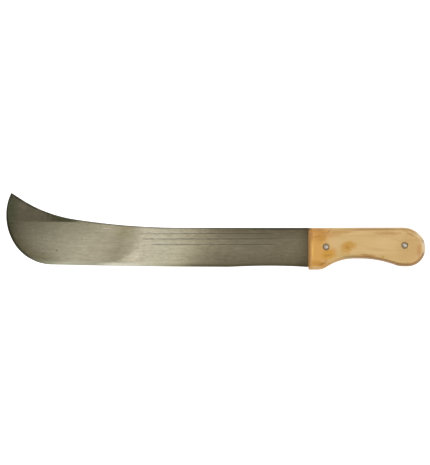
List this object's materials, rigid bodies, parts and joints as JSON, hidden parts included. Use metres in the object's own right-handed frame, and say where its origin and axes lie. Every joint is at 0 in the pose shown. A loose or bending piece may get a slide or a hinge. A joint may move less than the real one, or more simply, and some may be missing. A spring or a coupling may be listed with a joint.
{
  "type": "machete",
  "caption": "Machete with a broad blade whose spine sweeps up to a raised point, long grooves under the spine, a bevelled edge, and wooden handle scales riveted to a full tang.",
  "frame": {"origin": "under the middle of the machete's box, on the flat underside of the right-hand scale, which it lies on", "axes": "+X towards the butt and -X towards the point, +Y towards the spine, +Z out of the left side of the blade, which is the side that shows when it lies down"},
  "size_m": [0.4916, 0.09, 0.022],
  "materials": {
    "blade_steel": "ground satin, lightly tarnished",
    "scale_wood": "light hardwood, clear lacquer",
    "rivet_aluminium": "hammered",
    "washer_steel": "dull, darkened"
  },
  "bodies": {
    "root": {"blade": "blade_steel", "scale_left": "scale_wood", "scale_right": "scale_wood", "rivet_front": "rivet_aluminium", "rivet_rear": "rivet_aluminium", "washer_front_left": "washer_steel", "washer_front_right": "washer_steel", "washer_rear_left": "washer_steel", "washer_rear_right": "washer_steel"}
  },
  "joints": []
}
